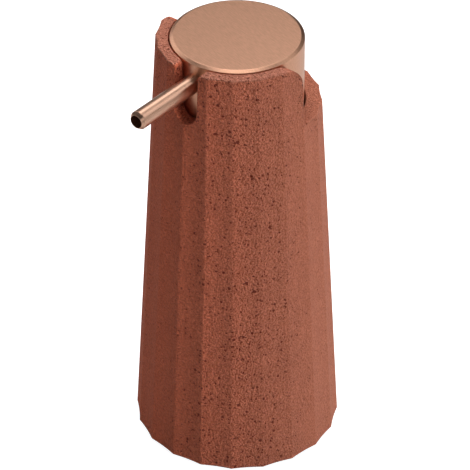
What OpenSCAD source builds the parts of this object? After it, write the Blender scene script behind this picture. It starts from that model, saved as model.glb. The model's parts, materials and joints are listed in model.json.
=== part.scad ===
// Soap pump dispenser: a fluted stone column with a sunken press drum, a straight spout and a lift-out pump.
// The foot pad stands on z = 0, the column's axis is Z, and the spout points along -Y.

/* [Stone column] */
// Diameter across the ridges at the foot
base_d = 85; // [82:0.5:88]
// Diameter across the ridges at the rim
rim_d = 64.2; // [63:0.1:66]
// Height of the stone column
column_h = 186; // [184:0.5:190]
// Number of flutes round the column
flutes = 20; // [16:4:24]
// Depth of a flute's hollow below its chord at the foot
flute_depth = 0.36; // [0.1:0.02:0.6]
// Size of the small bevel round the foot
foot_bevel = 0.7; // [0.3:0.1:1.2]

/* [Drum well and rear step] */
// Diameter of the well that the drum sinks into
well_d = 54.2; // [54:0.1:55]
// Height of the well's floor above the stone's underside
well_floor_h = 137; // [136:0.5:138]
// Height of the rear step's floor above the stone's underside
step_h = 157.6; // [155:0.1:160]
// How far behind the axis the front wall ends
wall_end_y = 0.5; // [0:0.1:3]
// Radius of the wall's rounded rear corners
wall_corner_r = 9.5; // [6:0.5:12]

/* [Spout slot] */
// Width of the slot that the spout moves in
slot_w = 11.2; // [10:0.2:13]
// Depth of the slot below the rim
slot_depth = 23.8; // [22:0.2:26]
// Radius where the slot meets the rim
slot_lip_r = 2.2; // [1:0.1:3]

/* [Press head] */
// Diameter of the drum
drum_d = 53; // [52:0.1:53.4]
// Height of the drum
drum_h = 38; // [36:0.5:39]
// How far the drum stands above the rim at rest
drum_proud = 0.75; // [0.5:0.05:2]
// Width of the drum's top chamfer, seen from above
drum_chamfer_w = 1.45; // [0.5:0.05:2]
// Thickness of the drum's side wall
drum_wall = 2; // [1.5:0.1:2.5]
// Thickness of the drum's top
drum_top_t = 3; // [3:0.1:3.4]
// How far the head goes down
stroke = 10; // [8:0.5:10]

/* [Spout] */
// Outside diameter of the spout tube
spout_d = 7.6; // [7:0.1:8]
// Bore of the spout tube
spout_bore_d = 5.4; // [4.6:0.1:5.6]
// Distance from the axis to the spout's tip
spout_reach = 60.8; // [50:0.1:70]
// Depth of the spout's axis below the drum's top
spout_drop = 9.05; // [8.8:0.05:9.3]
// Length of the taper at the spout's tip
tip_taper = 1.3; // [0.5:0.1:2]

/* [Pump] */
// Bore of the pump cylinder
pump_bore_d = 12.6; // [12:0.1:13]
// Outside diameter of the stem
stem_d = 6; // [5.6:0.1:6]
// Bore of the stem
stem_bore_d = 3; // [2.4:0.1:3.2]
// Outside diameter of the dip tube
dip_d = 5; // [4.6:0.1:5]
// Free lift of each valve ball
ball_lift = 1.5; // [1:0.1:1.5]

/* [Hidden] */

$fn = 96;
// Overlap that lets one cut run cleanly into the next
cut = 1;
// Radial play of a sliding or turning fit
play = 0.05;
// How far a rounded edge's arc is set past its tangent, so that it meets the flat in a clean edge
crisp = 0.03;

stone_color = [0.62, 0.36, 0.28];
copper_color = [0.80, 0.57, 0.45];
steel_color = [0.70, 0.71, 0.73];
brass_color = [0.78, 0.64, 0.35];
clear_color = [0.86, 0.88, 0.86];
white_color = [0.93, 0.93, 0.91];
grey_color = [0.45, 0.46, 0.48];
rubber_color = [0.13, 0.13, 0.14];
foam_color = [0.22, 0.21, 0.21];

// Column levels, from the foot up
foot_proud = 0.8;
shell_z = foot_proud;
rim_z = shell_z + column_h;
step_z = shell_z + step_h;
well_floor_z = shell_z + well_floor_h;
web_t = 6;
cavity_top_z = well_floor_z - web_t;
recess_h = 3.2;
recess_d = 76.6;
cavity_low_d = 62;
cavity_high_d = 56;
neck_hole_d = 27.2;
flute_steps = 5;

// Base fittings
plate_t = 2.4;
plate_d = recess_d - 0.6;
plate_top_z = shell_z + recess_h;
plate_z = plate_top_z - plate_t;
pad_d = plate_d - 1.2;
base_screw_count = 3;
base_screw_pcd = 70.4;
insert_d = 4.2;
insert_h = 6;
m25_d = 2.1;
m25_head_d = 4.7;
m25_head_h = 1.3;
cushion_t = 1.2;

// Bottle
bottle_z = plate_top_z + cushion_t;
bottle_wall = 1.2;
bottle_low_r = 29.4;
bottle_high_r = 26.6;
bottle_foot_r = 3;
shoulder_r = 8;
neck_r = 13.2;
neck_bore_r = 11.6;
neck_rise = 10;
neck_top_z = well_floor_z + neck_rise;
washer_t = 1;
nut_h = 6;
nut_r = 18.5;

// Pump
plug_r = neck_bore_r - play;
plug_depth = 12;
collar_r = 15.5;
collar_t = 2.5;
collar_top_z = neck_top_z + collar_t;
oring_wire_r = 0.9;
oring_z = neck_top_z - 6;
bore_r = pump_bore_d / 2;
housing_r = bore_r + 1.7;
housing_flange_r = 11.5;
housing_flange_t = 1.5;
cap_z = collar_top_z + housing_flange_t;
cap_t = 2;
cap_top_z = cap_z + cap_t;
chamber_floor_z = cap_top_z - 49;
ball_room_h = 6;
seat_z = chamber_floor_z - ball_room_h;
seat_t = 2;
seat_hole_r = 1.4;
socket_z = seat_z - seat_t - 8;
socket_wall = 1.5;
ball_room_r = 2.9;
inlet_ball_r = 2.4;
inlet_ball_z = seat_z + sqrt(pow(inlet_ball_r, 2) - pow(seat_hole_r, 2)) + 0.03;
cage_t = 2;
cage_top_z = chamber_floor_z + cage_t;
dip_bottom_z = bottle_z + bottle_wall + 4;

// Moving stack on the stem
stem_r = stem_d / 2;
piston_h = 8;
piston_top_z = cap_z - 10.7;
piston_z = piston_top_z - piston_h;
stem_foot_t = 1.5;
stem_foot_r = 5.4;
stem_z = piston_z - stem_foot_t;
spring_r = 4.5;
spring_wire_r = 0.5;
spring_turns = 7;
spring_steps = 14;

// Head levels
drum_r = drum_d / 2;
drum_top_z = rim_z + drum_proud;
drum_z = drum_top_z - drum_h;
drum_ceiling_z = drum_top_z - drum_top_t;
spout_z = drum_top_z - spout_drop;
spout_r = spout_d / 2;
spout_root_y = -3.9;
hub_r = 11;
hub_flange_r = 22;
hub_flange_t = 1.75;
hub_z = cap_top_z + stroke + 1.5;
stem_top_z = hub_z + 6.9;
outlet_seat_z = stem_top_z + 1.2;
outlet_seat_r = 1.3;
outlet_ball_r = 2;
outlet_ball_z = outlet_seat_z + sqrt(pow(outlet_ball_r, 2) - pow(outlet_seat_r, 2)) + 0.03;
outlet_room_r = 2.5;
peg_r = 0.7;
peg_z = outlet_ball_z + outlet_ball_r + ball_lift + 0.1;
channel_r = 2.2;
spout_oring_wire_r = 0.65;
spout_oring_y = -5.3;
grub_y = -7.9;
grub_r = 1.5;
grub_len = 5;
hub_screw_r = 17;
hub_screw_angles = [90, 210, 330];
hub_screw_bite = 2;

// Points of an arc in a profile, from angle a0 to a1
function arc(cx, cy, r, a0, a1, n = 8) =
    [for (i = [0:n]) let (a = a0 + (a1 - a0) * i / n) [cx + r * cos(a), cy + r * sin(a)]];

// One point of the fluted outline: t runs from ridge k to the next ridge
function flute_point(r, k, t) =
    let (
        turn = 360 / flutes,
        a = turn * k,
        ridge_a = [cos(a), sin(a)] * r,
        ridge_b = [cos(a + turn), sin(a + turn)] * r,
        depth = flute_depth * r / (base_d / 2),
        inward = [cos(a + turn / 2), sin(a + turn / 2)] * 4 * depth * t * (1 - t)
    )
    ridge_a + (ridge_b - ridge_a) * t - inward;

function fluted_outline(r) =
    [for (k = [0:flutes - 1], j = [0:flute_steps - 1]) flute_point(r, k, j / flute_steps)];

// A ring or tube between two heights
module tube(outer_r, inner_r, z0, z1) {
    translate([0, 0, z0])
        difference() {
            cylinder(r = outer_r, h = z1 - z0);
            translate([0, 0, -cut]) cylinder(r = inner_r, h = z1 - z0 + 2 * cut);
        }
}

// A round ring of round section
module torus(ring_r, wire_r) {
    rotate_extrude() translate([ring_r, 0]) circle(r = wire_r, $fn = 32);
}

// A cylinder that runs from the axis side at y0 out to y1 along -Y
module along_spout(r, y0, y1) {
    translate([0, y0, spout_z]) rotate([90, 0, 0]) cylinder(r = r, h = y0 - y1);
}

// Copies a child to each base screw's place
module at_base_screws() {
    for (i = [0:base_screw_count - 1])
        rotate([0, 0, 90 + 360 / base_screw_count * i])
            translate([base_screw_pcd / 2, 0, 0]) children();
}

// Copies a child to each hub screw's place
module at_hub_screws() {
    for (a = hub_screw_angles)
        rotate([0, 0, a]) translate([hub_screw_r, 0, 0]) children();
}

// The column's fluted, tapered outside, bevelled round its foot and left a little tall at the rim
module fluted_column() {
    base_r = base_d / 2;
    taper = (base_r - rim_d / 2) / (column_h - foot_bevel);
    levels = [
        [base_r - foot_bevel, shell_z],
        [base_r, shell_z + foot_bevel],
        [rim_d / 2 - taper * cut, rim_z + cut]
    ];
    sides = flutes * flute_steps;
    points = [for (level = levels) for (p = fluted_outline(level[0])) [p[0], p[1], level[1]]];
    skin = [for (row = [0:len(levels) - 2], i = [0:sides - 1])
        let (a = row * sides + i, b = row * sides + (i + 1) % sides)
            each [[b, a, a + sides], [b, a + sides, b + sides]]];
    underside = [for (i = [0:sides - 1]) i];
    top = [for (i = [0:sides - 1]) len(levels) * sides - 1 - i];
    polyhedron(points, concat(skin, [underside], [top]));
}

// Everything above the rim and, behind the wall's rounded rear corners, above the step
module rim_and_step_cut() {
    corner_y = wall_end_y - wall_corner_r;
    corner_z = rim_z - wall_corner_r;
    top_z = rim_z + 2 * cut;
    profile = concat(
        [[-base_d, top_z], [-base_d, rim_z]],
        [for (p = arc(corner_y, corner_z, wall_corner_r, 90, 0, 12)) p],
        [[wall_end_y, step_z], [base_d, step_z], [base_d, top_z]]
    );
    rotate([90, 0, 90])
        linear_extrude(height = 2 * base_d, center = true) polygon(profile);
}

// The round-bottomed slot in the front wall, flared where it meets the rim
module spout_slot_cut() {
    half_w = slot_w / 2;
    round_z = rim_z - slot_depth + half_w;
    rotate([90, 0, 0])
        linear_extrude(height = base_d / 2) {
            translate([0, round_z]) circle(r = half_w);
            translate([-half_w, round_z]) square([slot_w, rim_z - round_z + cut]);
            for (side = [-1, 1])
                difference() {
                    translate([side * (half_w + slot_lip_r / 2), rim_z])
                        square([slot_lip_r, 2 * slot_lip_r], center = true);
                    translate([side * (half_w + slot_lip_r), rim_z - slot_lip_r + crisp])
                        circle(r = slot_lip_r);
                }
        }
}

module body_shell() {
    color(stone_color)
        difference() {
            fluted_column();
            translate([0, 0, well_floor_z]) cylinder(d = well_d, h = column_h);
            translate([0, 0, cavity_top_z - cut]) cylinder(d = neck_hole_d, h = web_t + 2 * cut);
            translate([0, 0, plate_top_z])
                cylinder(d1 = cavity_low_d, d2 = cavity_high_d, h = cavity_top_z - plate_top_z);
            translate([0, 0, shell_z - cut]) cylinder(d = recess_d, h = recess_h + cut);
            at_base_screws()
                translate([0, 0, plate_top_z - cut]) cylinder(d = insert_d, h = insert_h + cut);
            rim_and_step_cut();
            spout_slot_cut();
        }
}

module base_plate() {
    color(grey_color)
        difference() {
            translate([0, 0, plate_z]) cylinder(d = plate_d, h = plate_t);
            at_base_screws() {
                translate([0, 0, plate_z - cut]) cylinder(d = m25_d + 0.6, h = plate_t + 2 * cut);
                translate([0, 0, plate_z])
                    cylinder(d1 = m25_head_d + 0.2, d2 = m25_d + 0.6, h = m25_head_h);
            }
        }
}

module base_inserts() {
    color(brass_color)
        at_base_screws() tube(insert_d / 2, m25_d / 2, plate_top_z, plate_top_z + insert_h);
}

module base_screws() {
    color(steel_color)
        at_base_screws()
            difference() {
                union() {
                    translate([0, 0, plate_z]) cylinder(d1 = m25_head_d, d2 = m25_d, h = m25_head_h);
                    translate([0, 0, plate_z]) cylinder(d = m25_d, h = plate_t + insert_h - cut);
                }
                translate([0, 0, plate_z - cut]) cylinder(d = 1.5, h = cut + 1, $fn = 6);
            }
}

module foot_pad() {
    color(foam_color)
        cylinder(d = pad_d, h = plate_z);
}

module bottle_cushion() {
    color(foam_color)
        tube(25, 12, plate_top_z, bottle_z);
}

// The bottle's outside, and with inset = bottle_wall its inside
module bottle_profile(inset) {
    low_r = bottle_low_r - inset;
    high_r = bottle_high_r - inset;
    foot_r = bottle_foot_r - inset / 2;
    top_z = cavity_top_z - inset;
    throat_r = inset > 0 ? neck_bore_r : neck_r;
    polygon(concat(
        [[0, bottle_z + inset]],
        arc(low_r - foot_r, bottle_z + inset + foot_r, foot_r, -90, 0),
        arc(high_r - shoulder_r, top_z - shoulder_r, shoulder_r, 0, 90),
        [[throat_r, top_z], [throat_r, neck_top_z + inset], [0, neck_top_z + inset]]
    ));
}

module reservoir_bottle() {
    color(clear_color)
        rotate_extrude()
            difference() {
                bottle_profile(0);
                bottle_profile(bottle_wall);
            }
}

module neck_washer() {
    color(rubber_color)
        tube(nut_r - 0.5, neck_r + 0.1, well_floor_z, well_floor_z + washer_t);
}

module neck_nut() {
    grip_count = 8;
    nut_z = well_floor_z + washer_t;
    color(grey_color)
        difference() {
            tube(nut_r, neck_r + play, nut_z, nut_z + nut_h);
            for (i = [0:grip_count - 1])
                rotate([0, 0, 360 / grip_count * i])
                    translate([nut_r + 0.8, 0, nut_z - cut]) cylinder(r = 2.2, h = nut_h + 2 * cut);
        }
}

module plug_collar() {
    groove_h = 2 * oring_wire_r + 0.2;
    color(white_color)
        difference() {
            union() {
                translate([0, 0, neck_top_z]) cylinder(r = collar_r, h = collar_t);
                translate([0, 0, neck_top_z - plug_depth]) cylinder(r = plug_r, h = plug_depth);
            }
            translate([0, 0, neck_top_z - plug_depth - cut])
                cylinder(r = housing_r + 0.02, h = plug_depth + collar_t + 2 * cut);
            tube(plug_r + cut, plug_r - 2 * oring_wire_r, oring_z - groove_h / 2, oring_z + groove_h / 2);
        }
}

module collar_oring() {
    color(rubber_color)
        translate([0, 0, oring_z]) torus(plug_r - oring_wire_r, oring_wire_r);
}

module pump_housing() {
    socket_r = dip_d / 2 + socket_wall;
    vent_z = neck_top_z - plug_depth - 2;
    color(clear_color)
        difference() {
            union() {
                translate([0, 0, chamber_floor_z]) cylinder(r = housing_r, h = collar_top_z - chamber_floor_z);
                translate([0, 0, collar_top_z]) cylinder(r = housing_flange_r, h = housing_flange_t);
                translate([0, 0, seat_z - seat_t])
                    cylinder(r1 = socket_r, r2 = housing_r, h = chamber_floor_z - seat_z + seat_t);
                translate([0, 0, socket_z]) cylinder(r = socket_r, h = seat_z - seat_t - socket_z);
            }
            translate([0, 0, chamber_floor_z]) cylinder(r = bore_r, h = cap_z - chamber_floor_z + cut);
            translate([0, 0, seat_z]) cylinder(r = ball_room_r, h = ball_room_h + cut);
            translate([0, 0, seat_z - seat_t - cut]) cylinder(r = seat_hole_r, h = seat_t + 2 * cut);
            translate([0, 0, socket_z - cut]) cylinder(d = dip_d, h = seat_z - seat_t - socket_z + cut);
            translate([0, 0, vent_z]) rotate([0, 90, 0]) cylinder(r = 0.5, h = housing_r + cut);
        }
}

module valve_cage() {
    port_count = 4;
    color(white_color)
        difference() {
            translate([0, 0, chamber_floor_z]) cylinder(r = bore_r - 0.02, h = cage_t);
            for (i = [0:port_count - 1])
                rotate([0, 0, 360 / port_count * i])
                    translate([2.1, 0, chamber_floor_z - cut]) cylinder(r = 0.9, h = cage_t + 2 * cut);
        }
}

module dip_tube() {
    color(clear_color)
        difference() {
            tube(dip_d / 2, dip_d / 2 - 0.8, dip_bottom_z, seat_z - seat_t);
            translate([0, 0, dip_bottom_z]) rotate([35, 0, 0])
                translate([0, 0, -dip_d]) cube([2 * dip_d, 3 * dip_d, 2 * dip_d], center = true);
        }
}

module guide_cap() {
    spigot_z = piston_top_z + 0.3;
    wiper_h = 1.2;
    color(white_color)
        difference() {
            union() {
                translate([0, 0, cap_z]) cylinder(r = housing_flange_r, h = cap_t);
                translate([0, 0, spigot_z]) cylinder(r = bore_r - 0.02, h = cap_z - spigot_z);
            }
            translate([0, 0, spigot_z - cut]) cylinder(r = stem_r + play, h = cap_top_z - spigot_z + 2 * cut);
            translate([0, 0, cap_top_z - wiper_h]) cylinder(r = 4.8, h = wiper_h + cut);
        }
}

module stem_wiper() {
    color(rubber_color)
        tube(4.78, stem_r + play, cap_top_z - 1.2, cap_top_z);
}

// One ring of points round the spring's wire, at turn position s
function wire_ring(s, sides, coil_r, wire_r, z) =
    [for (i = [0:sides - 1])
        let (a = 360 / sides * i, r = coil_r + wire_r * cos(a))
            [r * cos(360 * s), r * sin(360 * s), z + wire_r * sin(a)]];

// Height of the wire's middle: the end turns lie flat, and the turns between them climb
function coil_z(s, z0, z1) =
    z0 + (z1 - z0) * max(0, min(1, (s - 1) / (spring_turns - 2)));

module return_spring() {
    sides = 6;
    rings = spring_turns * spring_steps;
    z0 = cage_top_z + spring_wire_r + 0.1;
    z1 = stem_z - spring_wire_r - 0.1;
    end_lift = 2 * spring_wire_r + 0.1;
    points = [for (k = [0:rings])
        let (
            s = k / spring_steps,
            low = z0 + end_lift * min(1, s),
            high = z1 - end_lift * min(1, spring_turns - s),
            z = s < 1 ? low : (s > spring_turns - 1 ? high : coil_z(s, z0 + end_lift, z1 - end_lift))
        )
        each wire_ring(s, sides, spring_r, spring_wire_r, z)];
    skin = [for (k = [0:rings - 1], i = [0:sides - 1])
        let (a = k * sides + i, b = k * sides + (i + 1) % sides)
            each [[a, b, b + sides], [a, b + sides, a + sides]]];
    first_end = [for (i = [0:sides - 1]) sides - 1 - i];
    last_end = [for (i = [0:sides - 1]) rings * sides + i];
    color(steel_color)
        polyhedron(points, concat(skin, [first_end], [last_end]));
}

module inlet_ball() {
    color(steel_color)
        translate([0, 0, inlet_ball_z]) sphere(r = inlet_ball_r);
}

module drum_shell() {
    chamfer_z = drum_top_z - drum_proud;
    edge = 0.4;
    inner_r = drum_r - drum_wall;
    color(copper_color)
        difference() {
            rotate_extrude()
                polygon([
                    [0, drum_top_z], [drum_r - drum_chamfer_w, drum_top_z], [drum_r, chamfer_z],
                    [drum_r, drum_z + edge], [drum_r - edge, drum_z], [inner_r, drum_z],
                    [inner_r, drum_ceiling_z], [0, drum_ceiling_z]
                ]);
            along_spout(spout_r + 0.02, 0, -drum_r - cut);
            at_hub_screws()
                translate([0, 0, drum_ceiling_z - cut]) cylinder(d = m25_d, h = hub_screw_bite + cut);
        }
}

module hub_core() {
    flange_z = drum_ceiling_z - hub_flange_t;
    room_top_z = spout_z + channel_r - 0.4;
    groove_w = 2 * spout_oring_wire_r + 0.1;
    color(white_color) {
        difference() {
            union() {
                translate([0, 0, hub_z]) cylinder(r = hub_r, h = flange_z - hub_z);
                translate([0, 0, flange_z]) cylinder(r = hub_flange_r, h = hub_flange_t);
            }
            translate([0, 0, hub_z - cut]) cylinder(r = stem_r + 0.02, h = stem_top_z - hub_z + cut);
            translate([0, 0, stem_top_z - cut]) cylinder(r = outlet_seat_r, h = outlet_seat_z - stem_top_z + 2 * cut);
            difference() {
                translate([0, 0, outlet_seat_z]) cylinder(r = outlet_room_r, h = room_top_z - outlet_seat_z);
                translate([0, 0, peg_z]) cylinder(r = peg_r, h = room_top_z - peg_z + cut);
            }
            difference() {
                along_spout(channel_r, 0, spout_root_y - cut);
                translate([0, 0, outlet_seat_z]) cylinder(r = outlet_room_r - 0.1, h = room_top_z);
            }
            along_spout(spout_r + 0.02, spout_root_y, -hub_r - cut);
            along_spout(spout_r + 2 * spout_oring_wire_r, spout_oring_y + groove_w / 2, spout_oring_y - groove_w / 2);
            translate([0, grub_y, hub_z - cut]) cylinder(r = grub_r, h = spout_z - hub_z);
            at_hub_screws()
                translate([0, 0, flange_z - cut]) cylinder(d = m25_d + 0.6, h = hub_flange_t + 2 * cut);
        }
    }
}

module hub_screws() {
    head_z = drum_ceiling_z - hub_flange_t;
    head_h = 1.6;
    color(steel_color)
        at_hub_screws()
            difference() {
                union() {
                    translate([0, 0, head_z - head_h]) cylinder(d = 4.4, h = head_h);
                    translate([0, 0, head_z - head_h]) cylinder(d = m25_d, h = head_h + hub_flange_t + hub_screw_bite);
                }
                translate([0, 0, head_z - head_h - cut]) cylinder(d = 2, h = cut + 1, $fn = 6);
            }
}

module spout_tube() {
    taper_y = -spout_reach + tip_taper;
    lip = 0.15;
    color(copper_color)
        difference() {
            union() {
                along_spout(spout_r, spout_root_y, taper_y);
                translate([0, taper_y, spout_z]) rotate([90, 0, 0])
                    cylinder(r1 = spout_r, r2 = spout_bore_d / 2 + lip, h = tip_taper);
            }
            along_spout(spout_bore_d / 2, spout_root_y + cut, -spout_reach - cut);
        }
}

module spout_oring() {
    color(rubber_color)
        translate([0, spout_oring_y, spout_z]) rotate([90, 0, 0])
            torus(spout_r + spout_oring_wire_r, spout_oring_wire_r);
}

module spout_grub_screw() {
    grub_top_z = spout_z - spout_r;
    color(steel_color)
        translate([0, grub_y, grub_top_z - grub_len])
            difference() {
                cylinder(r = grub_r - play, h = grub_len - 0.05);
                translate([0, 0, -cut]) cylinder(d = 1.5, h = cut + 1.5, $fn = 6);
            }
}

module stem() {
    color(white_color)
        difference() {
            union() {
                translate([0, 0, stem_z]) cylinder(r = stem_r, h = stem_top_z - stem_z);
                translate([0, 0, stem_z]) cylinder(r = stem_foot_r, h = stem_foot_t);
            }
            translate([0, 0, stem_z - cut]) cylinder(d = stem_bore_d, h = stem_top_z - stem_z + 2 * cut);
        }
}

module piston() {
    lip_r = bore_r - play;
    waist_r = bore_r - 0.9;
    lip_h = 1.6;
    color(clear_color)
        rotate_extrude()
            polygon([
                [stem_r, piston_z], [lip_r, piston_z], [lip_r, piston_z + lip_h], [waist_r, piston_z + 2 * lip_h],
                [waist_r, piston_top_z - 2 * lip_h], [lip_r, piston_top_z - lip_h], [lip_r, piston_top_z],
                [stem_r, piston_top_z]
            ]);
}

module outlet_ball() {
    color(steel_color)
        translate([0, 0, outlet_ball_z]) sphere(r = outlet_ball_r);
}

body_shell();
base_plate();
base_inserts();
base_screws();
foot_pad();
bottle_cushion();
reservoir_bottle();
neck_washer();
neck_nut();
plug_collar();
collar_oring();
pump_housing();
valve_cage();
dip_tube();
guide_cap();
stem_wiper();
return_spring();
inlet_ball();
drum_shell();
hub_core();
hub_screws();
spout_tube();
spout_oring();
spout_grub_screw();
stem();
piston();
outlet_ball();
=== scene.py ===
import json
import math

import bpy
from mathutils import Matrix, Vector

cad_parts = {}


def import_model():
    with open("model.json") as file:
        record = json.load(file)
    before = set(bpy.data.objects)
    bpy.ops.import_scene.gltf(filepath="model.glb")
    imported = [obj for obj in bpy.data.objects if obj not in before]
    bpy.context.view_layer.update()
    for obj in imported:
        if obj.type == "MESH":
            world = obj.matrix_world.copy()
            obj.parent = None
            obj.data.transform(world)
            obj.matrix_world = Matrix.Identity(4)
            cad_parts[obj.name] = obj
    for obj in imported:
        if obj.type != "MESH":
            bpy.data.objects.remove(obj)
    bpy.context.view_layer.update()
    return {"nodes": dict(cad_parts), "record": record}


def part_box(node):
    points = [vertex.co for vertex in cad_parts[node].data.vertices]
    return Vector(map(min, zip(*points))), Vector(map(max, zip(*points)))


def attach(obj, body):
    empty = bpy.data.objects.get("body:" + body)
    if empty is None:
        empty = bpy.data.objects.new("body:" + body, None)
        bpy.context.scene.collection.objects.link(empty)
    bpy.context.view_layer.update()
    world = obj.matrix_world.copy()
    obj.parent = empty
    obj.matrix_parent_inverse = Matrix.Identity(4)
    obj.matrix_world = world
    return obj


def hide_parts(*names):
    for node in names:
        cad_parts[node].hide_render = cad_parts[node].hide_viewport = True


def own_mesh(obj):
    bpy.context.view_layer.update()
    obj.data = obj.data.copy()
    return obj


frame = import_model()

# Soap pump dispenser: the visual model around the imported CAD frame.
# Lengths are metres unless a name says otherwise.
MM = 0.001

# ---------------------------------------------------------------- sizes, from the frame where it has them
stone_low, stone_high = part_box("body_shell")
drum_low, drum_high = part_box("drum_shell")
spout_low, spout_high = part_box("spout_tube")

FLUTES = 20
FLUTE_TURN = 2 * math.pi / FLUTES
BASE_R = stone_high.x
RIM_R = 32.1 * MM
FLUTE_DEPTH = 0.36 * MM
FOOT_Z = stone_low.z
RIM_Z = stone_high.z
FOOT_BEVEL = 0.7 * MM
RIDGE_ROUND = 0.22 * MM
EDGE_ROUND = 0.3 * MM
STEP_Z = FOOT_Z + 157.6 * MM
WALL_END_Y = 0.5 * MM
CORNER_R = 9.5 * MM
WELL_R = 27.1 * MM
WELL_FLOOR_Z = FOOT_Z + 137 * MM
NECK_HOLE_R = 13.6 * MM
CAVITY_TOP_Z = WELL_FLOOR_Z - 6 * MM
CAVITY_TOP_R = 28 * MM
CAVITY_LOW_R = 31 * MM
RECESS_R = 38.3 * MM
RECESS_TOP_Z = FOOT_Z + 3.2 * MM
SLOT_HALF = 5.6 * MM
SLOT_ROUND_Z = RIM_Z - 23.8 * MM + SLOT_HALF
LIP_R = 2.2 * MM
# How far the rounding lowers a ridge's tip, and how far from a ridge the mesh has its extra rows
RIDGE_DROP = 0.136 * RIDGE_ROUND
RIDGE_ROWS = (0.12 * MM, 0.26 * MM, 0.9 * MM)
# Mesh rows up the skin below the step, and above it on the skin, over the top and down the well's wall
SKIN_ROWS = 110
WALL_ROWS = (20, 6, 10)
LOW_ROWS = (6, 24, 6)

DRUM_R = drum_high.x
DRUM_TOP_Z = drum_high.z
DRUM_LOW_Z = drum_low.z
DRUM_CHAMFER_W = 1.45 * MM
DRUM_CHAMFER_H = 0.75 * MM
DRUM_WALL = 2 * MM
DRUM_TOP_T = 3 * MM
DRUM_ROUND = 0.12 * MM
DRUM_LOW_EDGE = 0.4 * MM
DRUM_STEPS = 160
HOLE_PLAY = 0.02 * MM
HOLE_STEPS = 64

SPOUT_R = spout_high.x
SPOUT_Z = (spout_low.z + spout_high.z) / 2
SPOUT_BORE_R = 2.7 * MM
SPOUT_TIP_Y = spout_low.y
SPOUT_ROOT_Y = spout_high.y
TIP_TAPER = 1.3 * MM
TIP_LIP = 0.15 * MM
SPOUT_ROUND = 0.1 * MM
SPOUT_STEPS = 96


# ---------------------------------------------------------------- mesh helpers
def mesh_object(name, points, faces, sharp_degrees=35):
    """A smooth-shaded mesh object whose edges stay sharp past an angle."""
    mesh = bpy.data.meshes.new(name)
    mesh.from_pydata([tuple(p) for p in points], [], faces)
    mesh.validate()
    mesh.update()
    made = bpy.data.objects.new(name, mesh)
    bpy.context.scene.collection.objects.link(made)
    smooth(made, sharp_degrees)
    return made


def smooth(made, sharp_degrees):
    made.data.shade_smooth()
    made.data.set_sharp_from_angle(angle=math.radians(sharp_degrees))


def lathe(name, profile, steps, closed=True):
    """Turns a profile of (radius, height) points round Z. Points on the axis become one vertex."""
    points = []
    rings = []
    for radius, height in profile:
        if radius < 1e-7:
            rings.append([len(points)] * steps)
            points.append((0, 0, height))
            continue
        rings.append(range(len(points), len(points) + steps))
        for i in range(steps):
            turn = 2 * math.pi * i / steps
            points.append((radius * math.cos(turn), radius * math.sin(turn), height))
    faces = []
    pairs = zip(rings, rings[1:] + rings[:1]) if closed else zip(rings, rings[1:])
    for low, high in pairs:
        for i in range(steps):
            j = (i + 1) % steps
            corners = [low[i], low[j], high[j], high[i]]
            face = [v for n, v in enumerate(corners) if v not in corners[:n]]
            if len(face) > 2:
                faces.append(face)
    return mesh_object(name, points, faces)


def rounded(profile, radius, steps=3):
    """A profile with its inner corners rounded, and a point each side that keeps the flats' shading flat."""
    made = [profile[0]]
    for before, corner, after in zip(profile, profile[1:], profile[2:]):
        c = Vector(corner)
        to_before = Vector(before) - c
        to_after = Vector(after) - c
        reach = min(radius, to_before.length / 3, to_after.length / 3)
        start = c + to_before.normalized() * reach
        end = c + to_after.normalized() * reach
        made.append(tuple(start + to_before.normalized() * reach * 0.4))
        for i in range(steps + 1):
            t = i / steps
            made.append(tuple(start * (1 - t) ** 2 + c * 2 * t * (1 - t) + end * t ** 2))
        made.append(tuple(end + to_after.normalized() * reach * 0.4))
    made.append(profile[-1])
    return made


def cut_away(target, cutter):
    """Takes the cutter's volume off the target and removes the cutter."""
    cut = target.modifiers.new("cut", "BOOLEAN")
    cut.operation = "DIFFERENCE"
    cut.solver = "EXACT"
    cut.object = cutter
    bpy.context.view_layer.update()
    shaped = target.evaluated_get(bpy.context.evaluated_depsgraph_get())
    target.data = bpy.data.meshes.new_from_object(shaped)
    target.modifiers.clear()
    bpy.data.objects.remove(cutter)


# ---------------------------------------------------------------- the fluted column
def skin_radius(angle, ridge_r):
    """Radius of the fluted outline at an angle, where the ridges are at ridge_r."""
    across = (angle % FLUTE_TURN) - FLUTE_TURN / 2
    depth = FLUTE_DEPTH * ridge_r / BASE_R
    chord = 2 * ridge_r * math.sin(FLUTE_TURN / 2)
    middle = ridge_r * math.cos(FLUTE_TURN / 2)
    t = 0.5
    for _ in range(3):
        inward = middle - 4 * depth * t * (1 - t)
        t = 0.5 + inward * math.tan(across) / chord
    t = min(max(t, 0), 1)
    inward = middle - 4 * depth * t * (1 - t)
    radius = math.hypot(inward, (t - 0.5) * chord)
    from_ridge = min(t, 1 - t) * chord
    fall = max(0, 1 - from_ridge / RIDGE_ROUND)
    return radius - RIDGE_DROP * fall * fall


def ridge_radius(z):
    """Radius of the ridges at a height: straight taper above the foot's bevel."""
    if z < FOOT_Z + FOOT_BEVEL:
        return BASE_R - (FOOT_Z + FOOT_BEVEL - z)
    t = (z - FOOT_Z - FOOT_BEVEL) / (RIM_Z - FOOT_Z - FOOT_BEVEL)
    return BASE_R + (RIM_R - BASE_R) * t


def wall_top(x, y):
    """Height of the wall's top edge over a point in front of the wall's end plane."""
    height = RIM_Z
    into_corner = y - (WALL_END_Y - CORNER_R)
    if into_corner > 0:
        into_corner = min(into_corner, CORNER_R)
        height = RIM_Z - CORNER_R + math.sqrt(CORNER_R ** 2 - into_corner ** 2)
    into_lip = SLOT_HALF + LIP_R - abs(x)
    if y < 0 and into_lip > 0:
        into_lip = min(into_lip, LIP_R)
        height = RIM_Z - LIP_R + math.sqrt(LIP_R ** 2 - into_lip ** 2)
    return height


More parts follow.
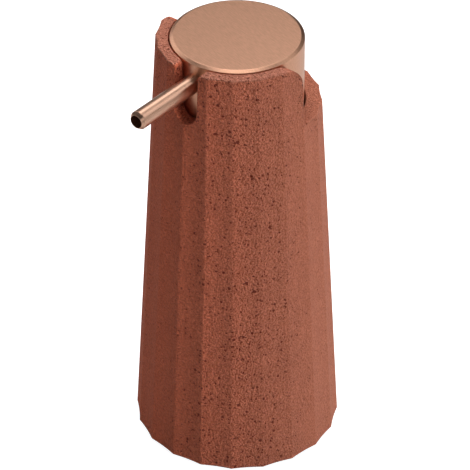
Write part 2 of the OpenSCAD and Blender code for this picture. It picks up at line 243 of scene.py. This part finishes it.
def low_top(x, y):
    """Height of the step's floor, or of the slot's round bottom."""
    if y > 0:
        return STEP_Z
    return SLOT_ROUND_Z - math.sqrt(max(0, SLOT_HALF ** 2 - x * x))


class Section:
    """One upright cut through the column's wall, at an angle that may change with radius.

    The cut keeps `reach` from the line at `middle`, and leans towards the plain radial line at
    middle + offset as blend goes from 0 to 1. inset rounds the upright edges of the wall's ends.
    """

    def __init__(self, middle, reach=0.0, offset=0.0, blend=0.0, low=False, inset=0.0, base=STEP_Z):
        self.middle = middle
        self.reach = reach
        self.offset = offset
        self.blend = blend
        self.low = low
        self.inset = inset
        self.base = base

    def angle(self, radius):
        straight = math.asin(self.reach / radius)
        return self.middle + (1 - self.blend) * straight + self.blend * self.offset

    def skin(self, z):
        """The outer skin's point at a height."""
        level = max(z, STEP_Z - 2 * MM)
        radius = ridge_radius(level)
        for _ in range(3):
            radius = skin_radius(self.angle(radius), ridge_radius(level))
        angle = self.angle(radius)
        radius = skin_radius(angle, ridge_radius(z)) - self.inset_at(z)
        return Vector((radius * math.cos(angle), radius * math.sin(angle), z))

    def inset_at(self, z):
        return self.inset * min(max((z - self.base) / EDGE_ROUND, 0), 1)

    def inside(self, radius, z):
        angle = self.angle(radius)
        return Vector((radius * math.cos(angle), radius * math.sin(angle), z))

    def top(self, point):
        height = low_top(point.x, point.y) if self.low else wall_top(point.x, point.y)
        return height - self.inset

    def upper_part(self):
        """From the outer skin just under the step's level, over the top, to the well's wall."""
        counts = LOW_ROWS if self.low else WALL_ROWS
        start_z = STEP_Z - 1 * MM
        outer_top = self.top(self.skin(RIM_Z if not self.low else STEP_Z))
        inner_r = WELL_R + self.inset
        inner_top = self.top(self.inside(inner_r, RIM_Z))
        points = []
        for i in range(counts[0]):
            z = start_z + (outer_top - EDGE_ROUND - start_z) * i / counts[0]
            points.append(self.skin(z))
        edge = self.skin(outer_top - EDGE_ROUND)
        edge_r = math.hypot(edge.x, edge.y)
        for i in range(4):
            turn = math.pi / 2 * i / 3
            radius = edge_r - EDGE_ROUND * (1 - math.cos(turn))
            z = outer_top - EDGE_ROUND * (1 - math.sin(turn))
            points.append(self.inside(radius, z))
        from_r = edge_r - EDGE_ROUND
        to_r = inner_r + EDGE_ROUND
        for i in range(1, counts[1] + 1):
            radius = from_r + (to_r - from_r) * i / (counts[1] + 1)
            point = self.inside(radius, 0)
            point.z = self.top(point)
            points.append(point)
        for i in range(4):
            turn = math.pi / 2 * i / 3
            radius = to_r - EDGE_ROUND * math.sin(turn)
            z = inner_top - EDGE_ROUND * (1 - math.cos(turn))
            points.append(self.inside(radius, z))
        for i in range(1, counts[2] + 1):
            z = inner_top - EDGE_ROUND + (start_z - inner_top + EDGE_ROUND) * i / counts[2]
            radius = WELL_R + self.inset_at(z)
            points.append(self.inside(radius, z))
        return points

    def loop(self):
        """All the section's points, from the foot's outer edge round to the recess in the base."""
        points = [self.skin(FOOT_Z), self.skin(FOOT_Z + 0.12 * MM), self.skin(FOOT_Z + 0.5 * MM)]
        first_z = FOOT_Z + FOOT_BEVEL + 0.1 * MM
        last_z = STEP_Z - 1 * MM
        for i in range(SKIN_ROWS):
            points.append(self.skin(first_z + (last_z - first_z) * i / SKIN_ROWS))
        points += self.upper_part()
        for i in range(1, 7):
            points.append(self.inside(WELL_R, last_z + (WELL_FLOOR_Z - last_z) * i / 6))
        points.append(self.inside(NECK_HOLE_R, WELL_FLOOR_Z))
        points.append(self.inside(NECK_HOLE_R, CAVITY_TOP_Z))
        points.append(self.inside(CAVITY_TOP_R, CAVITY_TOP_Z))
        for i in range(1, 9):
            t = i / 8
            radius = CAVITY_TOP_R + (CAVITY_LOW_R - CAVITY_TOP_R) * t
            points.append(self.inside(radius, CAVITY_TOP_Z + (RECESS_TOP_Z - CAVITY_TOP_Z) * t))
        points.append(self.inside(RECESS_R, RECESS_TOP_Z))
        points.append(self.inside(RECESS_R, FOOT_Z))
        return points


def edge_steps():
    """(distance from the end plane, inset) pairs that round the upright edge of a wall's end."""
    return [(EDGE_ROUND * (1 - math.cos(math.pi / 2 * t)), EDGE_ROUND * (1 - math.sin(math.pi / 2 * t)))
            for t in (0, 1 / 3, 2 / 3, 1)]


def slot_sections(front):
    """The sections across half the slot, and over its lip to the first ridge."""
    made = []
    for share in (0, 0.14, 0.28, 0.42, 0.56, 0.7, 0.82, 0.92, 0.98, 1):
        made.append(Section(front, SLOT_HALF * share, low=True))
    for distance, inset in edge_steps():
        made.append(Section(front, SLOT_HALF + distance, inset=inset, base=SLOT_ROUND_Z))
    for share in (0.3, 0.5, 0.75, 1):
        made.append(Section(front, SLOT_HALF + LIP_R * share))
    for blend in (0.3, 0.6, 0.85):
        made.append(Section(front, SLOT_HALF + LIP_R, offset=FLUTE_TURN, blend=blend))
    made.append(Section(front + FLUTE_TURN))
    return made


def radial_turns():
    """The turns from the front of the plain radial sections, closest together beside each ridge."""
    near = [row / RIM_R for row in RIDGE_ROWS]
    inner = [FLUTE_TURN * share for share in (0.2, 0.32, 0.44, 0.56, 0.68, 0.8)]
    steps = [0] + near + inner + [FLUTE_TURN - a for a in reversed(near)]
    made = []
    for flute in range(1, FLUTES // 2):
        made += [flute * FLUTE_TURN + step for step in steps]
    made.append(math.pi - 0.001 * MM / RIM_R)
    return made


def wall_end_sections():
    """The sections at the wall's end plane, where the full wall drops to the step."""
    made = []
    for distance, inset in reversed(edge_steps()):
        made.append(Section(0, WALL_END_Y - distance, inset=inset))
    made.append(Section(0, WALL_END_Y, low=True))
    made.append(Section(0, WALL_END_Y + 0.5 * MM, low=True))
    return made


def right_half_sections():
    """The sections from the slot's middle, at the front, round the +X side to the back."""
    front = -math.pi / 2
    side = math.pi / 2
    clear = 1.9 * MM / WELL_R
    turns = radial_turns()
    made = slot_sections(front)
    made += [Section(front + turn) for turn in turns[1:] if turn < side + 0.001]
    made += wall_end_sections()
    made += [Section(front + turn, low=True) for turn in turns if side + clear < turn < math.pi - 0.002]
    made.append(Section(math.pi / 2, low=True))
    return made


def column():
    right = [section.loop() for section in right_half_sections()]
    left = [[Vector((-p.x, p.y, p.z)) for p in loop] for loop in reversed(right[1:-1])]
    loops = right + left
    rows = len(loops[0])
    points = [p for loop in loops for p in loop]
    faces = []
    for i in range(len(loops)):
        j = (i + 1) % len(loops)
        for row in range(rows):
            up = (row + 1) % rows
            faces.append((i * rows + row, j * rows + row, j * rows + up, i * rows + up))
    return mesh_object("stone_column", points, faces)


# ---------------------------------------------------------------- drum and spout
def drum():
    inner_r = DRUM_R - DRUM_WALL
    ceiling = DRUM_TOP_Z - DRUM_TOP_T
    edge = DRUM_LOW_EDGE
    profile = rounded([
        (0, DRUM_TOP_Z), (DRUM_R - DRUM_CHAMFER_W, DRUM_TOP_Z), (DRUM_R, DRUM_TOP_Z - DRUM_CHAMFER_H),
        (DRUM_R, DRUM_LOW_Z + edge), (DRUM_R - edge, DRUM_LOW_Z), (inner_r, DRUM_LOW_Z),
        (inner_r, ceiling), (0, ceiling)
    ], DRUM_ROUND)
    made = lathe("drum", list(reversed(profile)), DRUM_STEPS)
    hole_r = SPOUT_R + HOLE_PLAY
    hole = lathe("hole", [(0, 0), (hole_r, 0), (hole_r, DRUM_R * 2), (0, DRUM_R * 2)], HOLE_STEPS)
    hole.rotation_euler = (math.pi / 2, 0, 0)
    hole.location = (0, 0, SPOUT_Z)
    cut_away(made, hole)
    smooth(made, 35)
    return made


def spout():
    length = SPOUT_ROOT_Y - SPOUT_TIP_Y
    taper_at = length - TIP_TAPER
    tip_r = SPOUT_BORE_R + TIP_LIP
    outline = [(SPOUT_BORE_R, 0), (SPOUT_R, 0), (SPOUT_R, taper_at), (tip_r, length), (SPOUT_BORE_R, length)]
    made = lathe("spout", rounded(outline, SPOUT_ROUND), SPOUT_STEPS)
    made.data.transform(Matrix.Rotation(math.pi / 2, 4, "X"))
    made.data.transform(Matrix.Translation((0, SPOUT_ROOT_Y, SPOUT_Z)))
    return made


# ---------------------------------------------------------------- materials
# The drum's brushing runs this far round from the X axis
BRUSH_TURN = math.radians(14)
# Where the cast stone shows most pores, as a level direction
POROUS_SIDE = (0.64, -0.77, 0)
# Painted light: the level direction of the lit side, where the stone's colour is painted paler, and the
# painted tints for the shaded side and for the lit side
PAINTED_LIGHT_SIDE = (0.9, 0.43, 0)
PAINTED_SHADE_TINT = (1.16, 0.88, 0.79, 1)
PAINTED_LIGHT_TINT = (0.88, 0.96, 1.04, 1)
# Painted sheen: a paler, bluer colour on the rim's flat top, standing in for the whitish reflection there
RIM_PAINTED_SHEEN = (0.95, 1.12, 1.3, 1)
# Heights, in millimetres, over which the grain coarsens towards the rim,
# and over which the painted sheen on the rim's top face sets in
UPPER_MM = (150, 178)
PAINTED_SHEEN_MM = (RIM_Z / MM - 0.9, RIM_Z / MM - 0.2)


def node(tree, kind, inputs=(), **settings):
    """A shader node. inputs maps socket names or numbers to values or to other sockets."""
    made = tree.nodes.new("ShaderNode" + kind)
    for name, value in settings.items():
        setattr(made, name, value)
    for key, value in dict(inputs).items():
        if isinstance(value, bpy.types.NodeSocket):
            tree.links.new(value, made.inputs[key])
        else:
            made.inputs[key].default_value = value
    return made


def material(name, **shader):
    """A new material and its Principled shader, with the values that are the same all over."""
    made = bpy.data.materials.new(name)
    made.use_nodes = True
    bsdf = made.node_tree.nodes["Principled BSDF"]
    for socket, value in shader.items():
        bsdf.inputs[socket.replace("_", " ")].default_value = value
    return made, made.node_tree, bsdf


def millimetres(tree, stretch=(1, 1, 1)):
    """The piece's own coordinates, in millimetres, stretched."""
    place = node(tree, "TexCoord").outputs["Object"]
    scale = [1000 * s for s in stretch]
    return node(tree, "Mapping", {"Vector": place, "Scale": scale}).outputs[0]


def ramp(tree, value, low, high, out_low=0.0, out_high=1.0):
    return node(tree, "MapRange", {"Value": value, "From Min": low, "From Max": high, "To Min": out_low,
                                   "To Max": out_high}).outputs[0]


def math_node(tree, operation, a, b):
    return node(tree, "Math", {0: a, 1: b}, operation=operation).outputs[0]


def mix_colour(tree, factor, a, b, blend="MIX"):
    made = node(tree, "Mix", data_type="RGBA", blend_type=blend)
    for key, value in ((0, factor), (6, a), (7, b)):
        if isinstance(value, bpy.types.NodeSocket):
            tree.links.new(value, made.inputs[key])
        else:
            made.inputs[key].default_value = value
    return made.outputs[2]


def noise(tree, place, scale, detail, roughness=0.5):
    """A smooth random value, about 0.5, whose lumps are about 1 / scale across."""
    settings = {"Vector": place, "Scale": scale, "Detail": detail, "Roughness": roughness}
    return node(tree, "TexNoise", settings).outputs[0]


def pores(tree, place, cell, low_size, high_size, fewer):
    """1 in a scatter of small holes, 0 between them. Sizes are shares of a cell, less where fewer is high."""
    wobble = node(tree, "TexNoise", {"Vector": place, "Scale": 1.3, "Detail": 2.0})
    moved = node(tree, "VectorMath", {0: place, 1: wobble.outputs["Color"]}, operation="ADD").outputs[0]
    spots = node(tree, "TexVoronoi", {"Vector": moved, "Scale": 1 / cell, "Randomness": 1.0})
    chance = node(tree, "SeparateColor", {0: spots.outputs["Color"]}).outputs[0]
    size = ramp(tree, chance, 0, 1, low_size, high_size)
    size = math_node(tree, "SUBTRACT", size, fewer)
    inside = math_node(tree, "SUBTRACT", size, spots.outputs["Distance"])
    return ramp(tree, inside, -0.02, 0.06)


def stone_material():
    """Terracotta-coloured cast stone: sandy grain, soft clouds and dark pores, thickest on one side; painted
    light makes it paler on the lit side and redder on the shaded side, and a painted sheen pales the rim's
    top.
    """
    made, tree, bsdf = material("cast_stone", Roughness=0.8, Specular_IOR_Level=0.15, Sheen_Weight=0.03,
                                Sheen_Roughness=0.4)
    place = millimetres(tree)
    grain = noise(tree, place, 1.25, 2.0, 0.6)
    cloud = noise(tree, place, 0.07, 3.0, 0.6)
    level = node(tree, "VectorMath", {0: place, 1: (1, 1, 0)}, operation="MULTIPLY").outputs[0]
    outward = node(tree, "VectorMath", {0: level}, operation="NORMALIZE").outputs[0]
    side = node(tree, "VectorMath", {0: outward, 1: POROUS_SIDE}, operation="DOT_PRODUCT").outputs["Value"]
    # How far each point faces the lit side, for the painted light
    lit_side_facing = node(tree, "VectorMath", {0: outward, 1: PAINTED_LIGHT_SIDE}, operation="DOT_PRODUCT").outputs["Value"]
    height = node(tree, "SeparateXYZ", {0: place}).outputs["Z"]
    shown = math_node(tree, "MAXIMUM", ramp(tree, side, 0.66, 1.0), ramp(tree, height, *UPPER_MM, 0.0, 0.5))
    coarse = ramp(tree, shown, 0, 1, 0.65, 1.15)
    patchy = ramp(tree, cloud, 0.35, 0.65, 0.05, -0.03)
    fewer = math_node(tree, "ADD", ramp(tree, shown, 0, 1, 0.15, 0.0), patchy)
    big = pores(tree, place, 2.4, 0.0, 0.33, fewer)
    small = pores(tree, place, 1.5, 0.04, 0.37, fewer)
    holes = math_node(tree, "MAXIMUM", big, small)
    bumps = math_node(tree, "MULTIPLY", ramp(tree, grain, 0.3, 0.7, -0.5, 0.5), coarse)
    colour = mix_colour(tree, ramp(tree, bumps, -0.5, 0.5), (0.3, 0.082, 0.041, 1), (0.63, 0.203, 0.114, 1))
    colour = mix_colour(tree, ramp(tree, cloud, 0.35, 0.65, 0.0, 0.25), colour, (0.4, 0.12, 0.066, 1))
    colour = mix_colour(tree, holes, colour, (0.17, 0.032, 0.015, 1))
    # Painted light: the colour is tinted paler on the lit side and redder on the shaded side
    tint = mix_colour(tree, ramp(tree, lit_side_facing, -0.6, 0.95), PAINTED_SHADE_TINT, PAINTED_LIGHT_TINT)
    # Painted sheen: paler and bluer on the rim's top face
    tint = mix_colour(tree, ramp(tree, height, *PAINTED_SHEEN_MM), tint, RIM_PAINTED_SHEEN)
    colour = mix_colour(tree, 1.0, colour, tint, "MULTIPLY")
    tree.links.new(colour, bsdf.inputs["Base Color"])
    relief = math_node(tree, "SUBTRACT", bumps, math_node(tree, "MULTIPLY", holes, 0.7))
    bump = node(tree, "Bump", {"Height": relief, "Strength": 1.0, "Distance": 0.0011})
    tree.links.new(bump.outputs[0], bsdf.inputs["Normal"])
    return made


def brushed_copper():
    made, tree, bsdf = material("brushed_copper", Metallic=1.0)
    turn = {"Vector": millimetres(tree), "Angle": BRUSH_TURN}
    place = node(tree, "VectorRotate", turn, rotation_type="Z_AXIS").outputs[0]
    along = node(tree, "Mapping", {"Vector": place, "Scale": (0.3, 2.0, 2.0)}).outputs[0]
    streak = noise(tree, along, 1.0, 3.0, 0.7)
    colour = mix_colour(tree, ramp(tree, streak, 0.35, 0.65), (0.8, 0.427, 0.275, 1), (0.92, 0.507, 0.338, 1))
    tree.links.new(colour, bsdf.inputs["Base Color"])
    tree.links.new(ramp(tree, streak, 0.3, 0.7, 0.3, 0.4), bsdf.inputs["Roughness"])
    bump = node(tree, "Bump", {"Height": streak, "Strength": 0.25, "Distance": 0.00004})
    tree.links.new(bump.outputs[0], bsdf.inputs["Normal"])
    return made


def polished_copper():
    made, tree, bsdf = material("polished_copper", Metallic=1.0, Coat_Weight=0.15, Coat_Roughness=0.25)
    streak = noise(tree, millimetres(tree, (3, 0.1, 3)), 1.0, 2.0)
    colour = mix_colour(tree, ramp(tree, streak, 0.35, 0.65), (0.82, 0.475, 0.325, 1), (0.9, 0.545, 0.39, 1))
    tree.links.new(colour, bsdf.inputs["Base Color"])
    tree.links.new(ramp(tree, streak, 0.3, 0.7, 0.27, 0.35), bsdf.inputs["Roughness"])
    return made


def speckled(name, dark, light, rough, scale=0.4, bump_mm=0.02, **shader):
    """A plastic, rubber or metal whose colour, gloss and surface vary a little."""
    made, tree, bsdf = material(name, **shader)
    fine = noise(tree, millimetres(tree), scale, 4.0)
    colour = mix_colour(tree, ramp(tree, fine, 0.3, 0.7), (*dark, 1), (*light, 1))
    tree.links.new(colour, bsdf.inputs["Base Color"])
    tree.links.new(ramp(tree, fine, 0.3, 0.7, *rough), bsdf.inputs["Roughness"])
    bump = node(tree, "Bump", {"Height": fine, "Strength": 0.5, "Distance": bump_mm * MM})
    tree.links.new(bump.outputs[0], bsdf.inputs["Normal"])
    return made


FINISHES = {
    "stone": stone_material(),
    "brushed_copper": brushed_copper(),
    "polished_copper": polished_copper(),
    "steel": speckled("steel", (0.55, 0.56, 0.58), (0.66, 0.67, 0.69), (0.25, 0.4), 2.0, 0.005, Metallic=1.0),
    "insert_brass": speckled("insert_brass", (0.7, 0.5, 0.22), (0.8, 0.6, 0.3), (0.3, 0.45), 2.0, 0.01,
                             Metallic=1.0),
    "bottle_plastic": speckled("bottle_plastic", (0.72, 0.76, 0.74), (0.8, 0.84, 0.82), (0.18, 0.3), 0.3),
    "white_plastic": speckled("white_plastic", (0.78, 0.78, 0.75), (0.86, 0.86, 0.84), (0.3, 0.42), 1.0,
                              0.01),
    "grey_plastic": speckled("grey_plastic", (0.1, 0.1, 0.11), (0.15, 0.15, 0.16), (0.5, 0.65), 3.0, 0.03),
    "rubber": speckled("rubber", (0.012, 0.012, 0.013), (0.022, 0.022, 0.024), (0.55, 0.7), 2.0, 0.02),
    "foam": speckled("foam", (0.03, 0.028, 0.028), (0.06, 0.055, 0.055), (0.85, 0.95), 2.5, 0.15),
}


# ---------------------------------------------------------------- the pieces in place
def place_piece(made, body, slot, *nodes):
    made.data.materials.append(FINISHES[slot])
    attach(made, body)
    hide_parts(*nodes)


def spring():
    """The return spring as its own piece, on a copy of the frame's spring mesh."""
    made = bpy.data.objects.new("coil_spring", frame["nodes"]["return_spring"].data.copy())
    bpy.context.scene.collection.objects.link(made)
    made.data.materials.clear()
    return made


def shorten_with_stroke(made):
    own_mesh(made)


place_piece(column(), "root", "stone", "body_shell")
place_piece(drum(), "head", "brushed_copper", "drum_shell")
place_piece(spout(), "head", "polished_copper", "spout_tube")

coil = spring()
place_piece(coil, "pump", "steel", "return_spring")
shorten_with_stroke(coil)

for part in frame["record"]["subparts"]:
    carried = frame["nodes"][part["node"]]
    carried.data.materials.clear()
    carried.data.materials.append(FINISHES[part["material_slot"]])


# ---------------------------------------------------------------- studio
AIM_HEIGHT = 90.4 * MM
AIM_RIGHT = -0.88 * MM
VIEW_TURN = math.radians(39.2)
VIEW_RISE = math.radians(36.4)
VIEW_DISTANCE = 1.3
LENS = 243.96
PANEL_SIZE = 0.8
# Cards stand a little nearer than the panels, because lights at one place hide each other
PANEL_DISTANCE = 1.5
CARD_DISTANCE = 1.42
LIGHT_AIM_Z = 0.1
# The floor lies just below the foot, so that the two faces don't share a plane
FLOOR_Z = -0.1 * MM
FLOOR_HALF = 25.0
FLOOR_GLOW = 0.9
WORLD_GLOW = 0.01


def towards(turn, rise):
    """The unit direction at a turn round the object, from its front, and a rise above level."""
    return Vector((math.sin(turn) * math.cos(rise), -math.cos(turn) * math.cos(rise), math.sin(rise)))


def camera():
    data = bpy.data.cameras.new("camera")
    data.lens = LENS
    data.sensor_width = 36
    made = bpy.data.objects.new("camera", data)
    bpy.context.scene.collection.objects.link(made)
    away = towards(VIEW_TURN, VIEW_RISE)
    right = Vector((math.cos(VIEW_TURN), math.sin(VIEW_TURN), 0))
    aim = right * AIM_RIGHT + Vector((0, 0, AIM_HEIGHT))
    made.location = aim + away * VIEW_DISTANCE
    made.rotation_euler = away.to_track_quat("Z", "Y").to_euler()
    bpy.context.scene.camera = made


def panel(name, turn, rise, power, distance, diffuse=True, glossy=True):
    """A square soft light that looks at the object from a turn and rise, in degrees."""
    data = bpy.data.lights.new(name, "AREA")
    data.shape = "SQUARE"
    data.size = PANEL_SIZE
    data.energy = power
    made = bpy.data.objects.new(name, data)
    bpy.context.scene.collection.objects.link(made)
    away = towards(math.radians(turn), math.radians(rise))
    made.location = Vector((0, 0, LIGHT_AIM_Z)) + away * distance
    made.rotation_euler = away.to_track_quat("Z", "Y").to_euler()
    made.visible_diffuse = diffuse
    made.visible_glossy = glossy
    made.visible_camera = False


def floor_material():
    """Pale paper that glows for the camera's own rays only, so that the glow lights nothing from below."""
    made, tree, bsdf = material("floor_white", Roughness=0.9)
    bsdf.inputs["Base Color"].default_value = (0.4, 0.4, 0.4, 1)
    glow = node(tree, "Emission", {"Strength": FLOOR_GLOW}).outputs[0]
    both = node(tree, "AddShader", {0: bsdf.outputs[0], 1: glow}).outputs[0]
    seen = node(tree, "LightPath").outputs["Is Camera Ray"]
    mixed = node(tree, "MixShader", {0: seen, 1: bsdf.outputs[0], 2: both}).outputs[0]
    tree.links.new(mixed, tree.nodes["Material Output"].inputs["Surface"])
    return made


def floor():
    corners = ((-1, -1), (1, -1), (1, 1), (-1, 1))
    points = [(x * FLOOR_HALF, y * FLOOR_HALF, FLOOR_Z) for x, y in corners]
    made = mesh_object("floor", points, [(0, 1, 2, 3)])
    made.data.materials.append(floor_material())


def world():
    made = bpy.data.worlds.new("studio")
    made.use_nodes = True
    background = made.node_tree.nodes["Background"]
    background.inputs["Color"].default_value = (1, 1, 1, 1)
    background.inputs["Strength"].default_value = WORLD_GLOW
    bpy.context.scene.world = made


def light_rig(prefix, brightest, lights, distance, **seen_by):
    """One light for each (turn, rise, stops). Each stop under the brightest light halves the power."""
    for name, (turn, rise, stops) in lights.items():
        panel(prefix + name, turn, rise, brightest / 2 ** stops, distance, **seen_by)


# Panels that light the stone: two keys, behind and at the right, with the front and left well under them
FILL_WATTS = 18
FILL_PANELS = {
    "behind_high": (220, 60, 0),
    "right": (90, 10, 0),
    "back_high": (180, 45, 0.5),
    "right_high": (90, 45, 1.5),
    "front_high": (0, 45, 1.5),
    "back_low": (180, 10, 2.5),
    "left": (270, 10, 3.5),
}
# Cards that are there only to be mirrored by the copper
CARD_WATTS = 3
CARDS = {
    "behind_high": (220, 60, 0),
    "behind": (200, 50, 1.5),
    "overhead": (0, 90, 0),
    "right_behind": (145, 40, 0.5),
    "left_high": (255, 35, 0.5),
    "right_low": (130, 5, 1.5),
    "front_left": (320, 20, 1),
    "front_right": (45, 20, 1),
}
camera()
world()
floor()
light_rig("", FILL_WATTS, FILL_PANELS, PANEL_DISTANCE, glossy=False)
light_rig("card_", CARD_WATTS, CARDS, CARD_DISTANCE, diffuse=False)
bpy.context.scene.view_settings.view_transform = "Standard"
